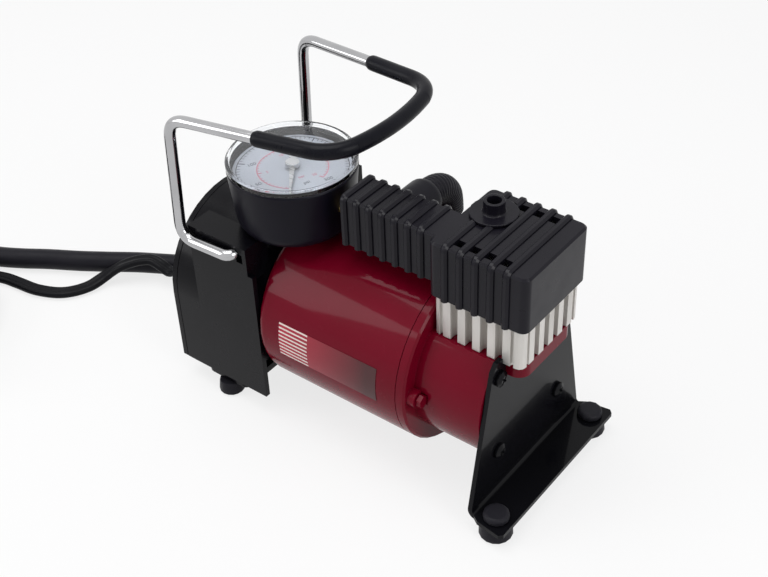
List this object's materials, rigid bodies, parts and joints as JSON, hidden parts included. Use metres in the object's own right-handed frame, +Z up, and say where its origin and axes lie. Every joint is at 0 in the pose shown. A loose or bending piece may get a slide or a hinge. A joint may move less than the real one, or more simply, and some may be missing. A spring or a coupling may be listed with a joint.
{
  "type": "air compressor",
  "caption": "Compact 12 V tyre air compressor: round red motor can, finned cylinder under a ribbed black cover, pressure gauge, wire handle, sheet-metal stand, air hose and power lead.",
  "frame": {"origin": "on the floor under the middle of the body's bounding box, measured without the power lead and the air hose", "axes": "+X along the motor shaft toward the sheet-metal stand, +Y toward the hose outlet side, +Z up"},
  "size_m": [0.3514, 0.1809, 0.1379],
  "materials": {
    "red_paint": "deep red gloss paint",
    "gloss_black": "glossy black paint",
    "black_plastic": "satin black moulding",
    "rocker_black": "polished black",
    "rubber": "matt black rubber",
    "cord_rubber": "matt black sheath",
    "chrome": "bright chrome plate",
    "steel": "plain steel",
    "aluminium": "as-cast aluminium",
    "brass": "machined brass",
    "copper": "enamelled copper",
    "bronze": "sintered bronze",
    "ferrite": "plain ferrite",
    "phenolic": "phenolic board",
    "carbon": "pressed carbon",
    "ptfe": "filled PTFE",
    "dial_white": "white printed dial",
    "lens": "clear moulded lens",
    "lever_red": "red paint"
  },
  "bodies": {
    "frame": {"motor_can": "red_paint", "rear_bearing": "bronze", "magnet_upper": "ferrite", "magnet_lower": "ferrite", "brush_card": "phenolic", "brush_left": "carbon", "brush_right": "carbon", "through_bolt_left": "red_paint", "through_bolt_right": "red_paint", "front_bearing": "steel", "crankcase": "red_paint", "cylinder_block": "aluminium", "cylinder_liner": "steel", "valve_plate": "steel", "cylinder_head": "aluminium", "cylinder_bolt_rear_left": "steel", "cylinder_bolt_rear_right": "steel", "cylinder_bolt_front_left": "steel", "cylinder_bolt_front_right": "steel", "top_cover": "black_plastic", "intake_spigot": "black_plastic", "air_manifold": "brass", "hose_boot": "rubber", "gauge_case": "black_plastic", "gauge_movement": "brass", "gauge_dial": "dial_white", "gauge_lens": "lens", "front_stand": "gloss_black", "stand_screw_lower_left": "gloss_black", "stand_screw_lower_right": "gloss_black", "stand_screw_upper_left": "gloss_black", "stand_screw_upper_right": "gloss_black", "front_foot_left": "rubber", "front_foot_right": "rubber", "rear_foot_left": "rubber", "rear_foot_right": "rubber", "rear_housing": "black_plastic", "rear_cover": "black_plastic", "rear_base": "black_plastic", "switch_frame": "black_plastic", "cord_gland": "rubber", "power_cord": "cord_rubber", "power_cord_coil": "cord_rubber", "plug_body": "black_plastic", "plug_clip": "steel", "air_hose": "cord_rubber", "hose_connector": "black_plastic"},
    "rotor": {"motor_shaft": "steel", "armature_core": "steel", "armature_winding": "copper", "commutator": "copper", "crank": "steel"},
    "piston": {"piston_rod": "aluminium", "piston_cup": "ptfe"},
    "handle": {"handle_wire": "chrome", "handle_grip": "rubber"},
    "needle": {"gauge_needle": "steel"},
    "rocker": {"switch_rocker": "rocker_black"},
    "plug_pin": {"plug_tip": "steel"},
    "lever": {"connector_lever": "lever_red"}
  },
  "joints": [
    {"name": "handle_swing", "type": "hinge", "parent": "frame", "child": "handle", "pos_m": [-0.042, 0, 0.0784], "axis": [0, 1, 0], "range_deg": [-95, 18]},
    {"name": "motor_spin", "type": "hinge", "parent": "frame", "child": "rotor", "pos_m": [0, 0, 0.045], "axis": [1, 0, 0], "continuous": true},
    {"name": "piston_stroke", "type": "slide", "parent": "frame", "child": "piston", "axis": [0, 0, 1], "range_m": [-0.012, 0]},
    {"name": "gauge_needle_turn", "type": "hinge", "parent": "frame", "child": "needle", "pos_m": [-0.034, -0.0076, 0.105], "axis": [0, 0, -1], "range_deg": [0, 300], "stiffness_Nm_per_rad": 0.0001},
    {"name": "switch_rock", "type": "hinge", "parent": "frame", "child": "rocker", "pos_m": [-0.0792, 0, 0.056], "axis": [0, -1, 0], "range_deg": [0, 16]},
    {"name": "connector_lever_lift", "type": "hinge", "parent": "frame", "child": "lever", "pos_m": [-0.2615, -0.107, 0.0185], "axis": [1, 0, 0], "range_deg": [0, 70]},
    {"name": "plug_tip_press", "type": "slide", "parent": "frame", "child": "plug_pin", "axis": [-1, 0, 0], "range_m": [0, 0.003], "stiffness_N_per_m": 300}
  ]
}
